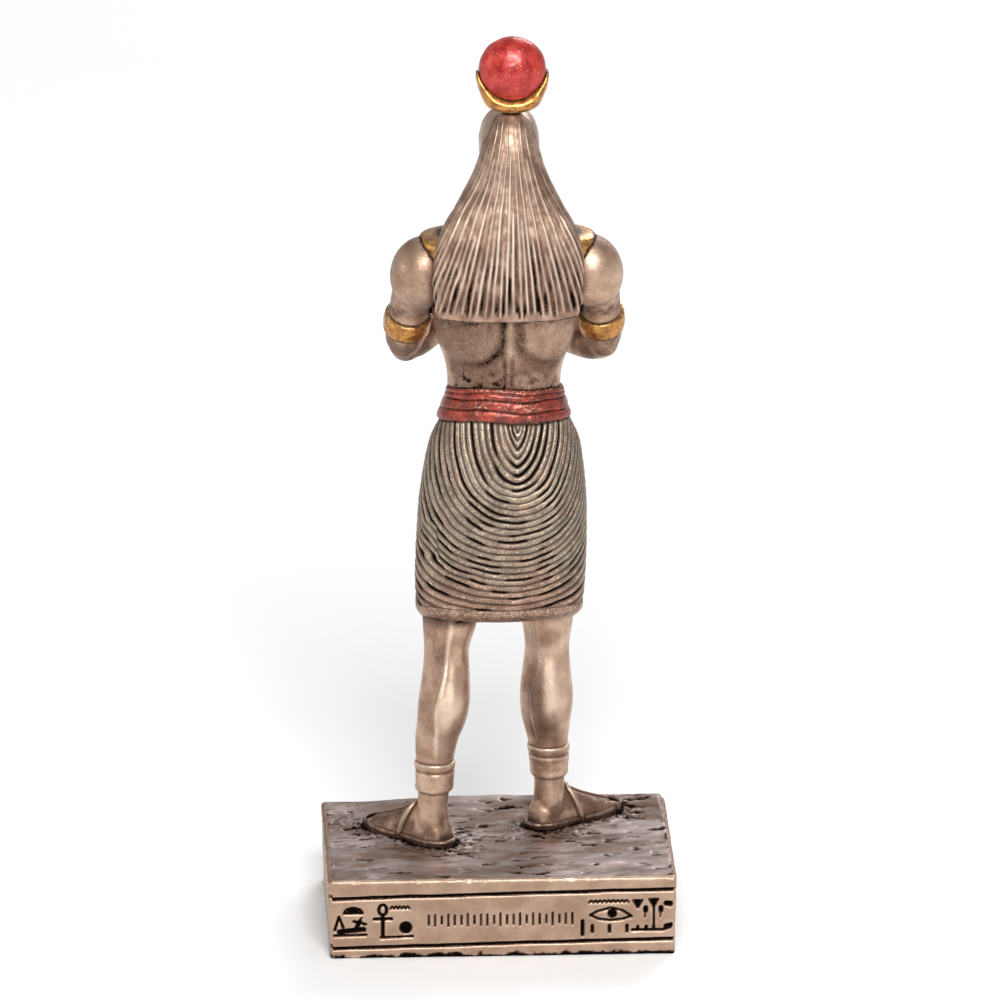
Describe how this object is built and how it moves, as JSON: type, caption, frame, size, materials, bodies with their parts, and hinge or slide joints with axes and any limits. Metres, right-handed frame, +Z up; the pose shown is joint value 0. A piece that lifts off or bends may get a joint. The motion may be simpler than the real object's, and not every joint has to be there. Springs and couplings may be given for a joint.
{
  "type": "thoth figurine",
  "caption": "Small bronze-finish figurine of a standing ibis-headed scribe in a wig and pleated kilt, on a low rectangular base with a carved frieze.",
  "frame": {"origin": "centre of the base's underside", "axes": "+Z up, the figure faces -Y, and its left side is +X"},
  "size_m": [0.0332, 0.0232, 0.0877],
  "materials": {
    "cast_bronze": "satin bronze-finish cast resin with a dark wash in its recesses and painted red and gold details"
  },
  "bodies": {
    "root": {"figurine": "cast_bronze"}
  },
  "joints": []
}
